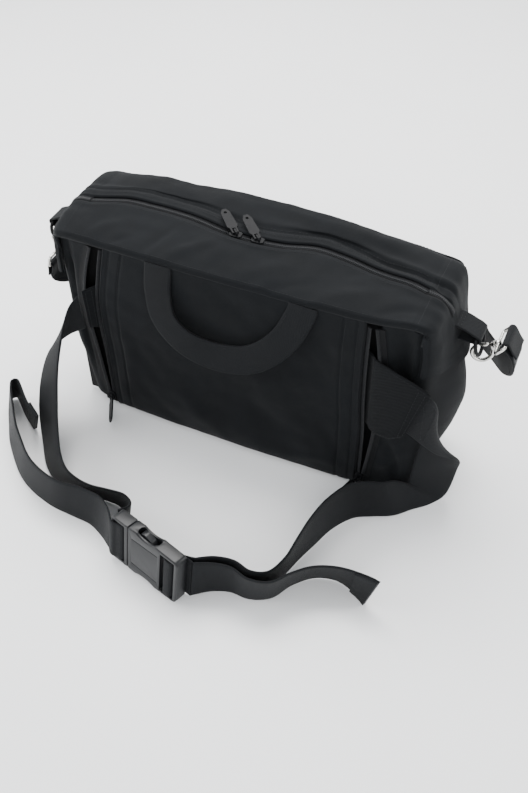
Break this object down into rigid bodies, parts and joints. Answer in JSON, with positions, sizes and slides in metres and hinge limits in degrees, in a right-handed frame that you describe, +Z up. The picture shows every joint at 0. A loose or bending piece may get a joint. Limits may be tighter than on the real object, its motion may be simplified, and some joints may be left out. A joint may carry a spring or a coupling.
{
  "type": "flight bag",
  "caption": "Soft boxy crew bag with a zipped top, fold-down carry handle, stowable waist belt with a side-release buckle and a clip-on shoulder strap.",
  "frame": {"origin": "centre of the flat base, where it rests", "axes": "+X along the bag's width to its right seen from the front, +Y to its back, +Z up"},
  "size_m": [0.5496, 0.4807, 0.2594],
  "materials": {
    "bag_cloth": "matt woven nylon",
    "stiff_board": "matt board",
    "black_webbing": "woven webbing",
    "zip_tape": "zip tape with moulded coil",
    "dark_zip_metal": "satin black",
    "nickel": "polished nickel plate",
    "black_acetal": "satin moulded plastic"
  },
  "bodies": {
    "bag": {"base_board": "stiff_board", "belt_sleeve_panel": "bag_cloth", "bottom_panel": "bag_cloth", "buckle_female": "black_acetal", "front_left_strip": "bag_cloth", "front_right_strip": "bag_cloth", "front_wall": "bag_cloth", "left_belt_strap": "black_webbing", "left_belt_wing": "black_webbing", "left_ring_tab": "black_webbing", "left_side_panel": "bag_cloth", "left_zip_inner_half": "zip_tape", "left_zip_outer_half": "zip_tape", "rear_panel": "bag_cloth", "right_belt_strap": "black_webbing", "right_belt_tail": "black_webbing", "right_belt_wing": "black_webbing", "right_ring_tab": "black_webbing", "right_side_panel": "bag_cloth", "right_zip_inner_half": "zip_tape", "right_zip_outer_half": "zip_tape", "shoulder_strap": "black_webbing", "snap_eye_left": "nickel", "snap_eye_right": "nickel", "top_left_gusset": "bag_cloth", "top_right_gusset": "bag_cloth"},
    "top_front_flap": {"top_front_flap": "bag_cloth", "main_zip_front_half": "zip_tape"},
    "top_rear_flap": {"top_rear_flap": "bag_cloth", "main_zip_rear_half": "zip_tape"},
    "main_slider_left": {"main_slider_left": "dark_zip_metal"},
    "main_pull_left": {"main_pull_left": "dark_zip_metal"},
    "main_slider_right": {"main_slider_right": "dark_zip_metal"},
    "main_pull_right": {"main_pull_right": "dark_zip_metal"},
    "left_zip_slider": {"left_zip_slider": "dark_zip_metal"},
    "left_zip_pull": {"left_zip_pull": "dark_zip_metal"},
    "right_zip_slider": {"right_zip_slider": "dark_zip_metal"},
    "right_zip_pull": {"right_zip_pull": "dark_zip_metal"},
    "carry_handle": {"carry_handle": "black_webbing"},
    "d_ring_left": {"d_ring_left": "dark_zip_metal"},
    "d_ring_right": {"d_ring_right": "dark_zip_metal"},
    "snap_hook_left": {"snap_hook_left": "nickel"},
    "snap_hook_right": {"snap_hook_right": "nickel"},
    "snap_gate_left": {"snap_gate_left": "nickel"},
    "snap_gate_right": {"snap_gate_right": "nickel"},
    "buckle_male": {"buckle_male": "black_acetal", "left_belt_tail": "black_webbing"},
    "release_arm_upper": {"release_arm_upper": "black_acetal"},
    "release_arm_lower": {"release_arm_lower": "black_acetal"},
    "strap_slide": {"strap_slide": "black_acetal"}
  },
  "joints": [
    {"name": "front_flap_hinge", "type": "hinge", "parent": "bag", "child": "top_front_flap", "pos_m": [0, -0.057, 0.236], "axis": [1, 0, 0], "range_deg": [0, 70], "deforming": ["main_zip_front_half"]},
    {"name": "rear_flap_hinge", "type": "hinge", "parent": "bag", "child": "top_rear_flap", "pos_m": [0, 0.057, 0.236], "axis": [-1, 0, 0], "range_deg": [0, 70]},
    {"name": "main_slider_left_travel", "type": "slide", "parent": "top_rear_flap", "child": "main_slider_left", "axis": [-1, 0, 0], "range_m": [0, 0.15]},
    {"name": "main_pull_left_hinge", "type": "hinge", "parent": "main_slider_left", "child": "main_pull_left", "pos_m": [-0.018, -0.005, 0.2538], "axis": [0.6947, 0.7193, 0], "range_deg": [0, 120]},
    {"name": "main_slider_right_travel", "type": "slide", "parent": "top_rear_flap", "child": "main_slider_right", "axis": [1, 0, 0], "range_m": [0, 0.16]},
    {"name": "main_pull_right_hinge", "type": "hinge", "parent": "main_slider_right", "child": "main_pull_right", "pos_m": [0.006, -0.005, 0.2538], "axis": [0.6947, 0.7193, 0], "range_deg": [0, 120]},
    {"name": "left_zip_slider_travel", "type": "slide", "parent": "bag", "child": "left_zip_slider", "axis": [0, 0, 1], "range_m": [0, 0.06]},
    {"name": "left_zip_pull_hinge", "type": "hinge", "parent": "left_zip_slider", "child": "left_zip_pull", "pos_m": [-0.158, -0.0632, 0.017], "axis": [-0.4695, 0, -0.8829], "range_deg": [0, 70]},
    {"name": "right_zip_slider_travel", "type": "slide", "parent": "bag", "child": "right_zip_slider", "axis": [0, 0, 1], "range_m": [0, 0.068]},
    {"name": "right_zip_pull_hinge", "type": "hinge", "parent": "right_zip_slider", "child": "right_zip_pull", "pos_m": [0.148, -0.0632, 0.017], "axis": [-0.4695, 0, 0.8829], "range_deg": [0, 70]},
    {"name": "carry_handle_swing", "type": "hinge", "parent": "bag", "child": "carry_handle", "pos_m": [0, -0.0605, 0.231], "axis": [1, 0, 0], "range_deg": [-165, 0]},
    {"name": "d_ring_left_swing", "type": "hinge", "parent": "bag", "child": "d_ring_left", "pos_m": [-0.234, 0, 0.208], "axis": [0, 1, 0], "range_deg": [-5, 5]},
    {"name": "snap_hook_left_swivel", "type": "hinge", "parent": "bag", "child": "snap_hook_left", "pos_m": [-0.239, 0, 0.1835], "axis": [-0.2268, 0, -0.9739], "range_deg": [-24, 24]},
    {"name": "snap_gate_left_hinge", "type": "hinge", "parent": "snap_hook_left", "child": "snap_gate_left", "pos_m": [-0.24657, 0, 0.1713], "axis": [0, 1, 0], "range_deg": [0, 28], "stiffness_Nm_per_rad": 0.05},
    {"name": "d_ring_right_swing", "type": "hinge", "parent": "bag", "child": "d_ring_right", "pos_m": [0.234, 0, 0.208], "axis": [0, 1, 0], "range_deg": [-5, 5]},
    {"name": "snap_hook_right_swivel", "type": "hinge", "parent": "bag", "child": "snap_hook_right", "pos_m": [0.239, 0, 0.1835], "axis": [0.6149, 0, 0.7886], "range_deg": [-24, 24]},
    {"name": "snap_gate_right_hinge", "type": "hinge", "parent": "snap_hook_right", "child": "snap_gate_right", "pos_m": [0.24373, 0, 0.19705], "axis": [0, -1, 0], "range_deg": [0, 28], "stiffness_Nm_per_rad": 0.05},
    {"name": "buckle_release", "type": "slide", "parent": "bag", "child": "buckle_male", "axis": [-0.9588, 0.284, 0], "range_m": [0, 0.045], "deforming": ["left_belt_strap", "release_arm_upper", "release_arm_lower"]},
    {"name": "release_arm_upper_flex", "type": "hinge", "parent": "buckle_male", "child": "release_arm_upper", "pos_m": [-0.02337, -0.24151, 0.04998], "axis": [0.2805, 0.9473, -0.1544], "range_deg": [0, 9], "stiffness_Nm_per_rad": 1},
    {"name": "release_arm_lower_flex", "type": "hinge", "parent": "buckle_male", "child": "release_arm_lower", "pos_m": [-0.02494, -0.24684, 0.01442], "axis": [-0.2805, -0.9473, 0.1544], "range_deg": [0, 9], "stiffness_Nm_per_rad": 1},
    {"name": "strap_slide_travel", "type": "slide", "parent": "bag", "child": "strap_slide", "axis": [1, 0, 0], "range_m": [-0.03, 0.03]}
  ],
  "couplings": [
    {"joint": "release_arm_lower_flex", "follows": "release_arm_upper_flex", "ratio": 1}
  ]
}
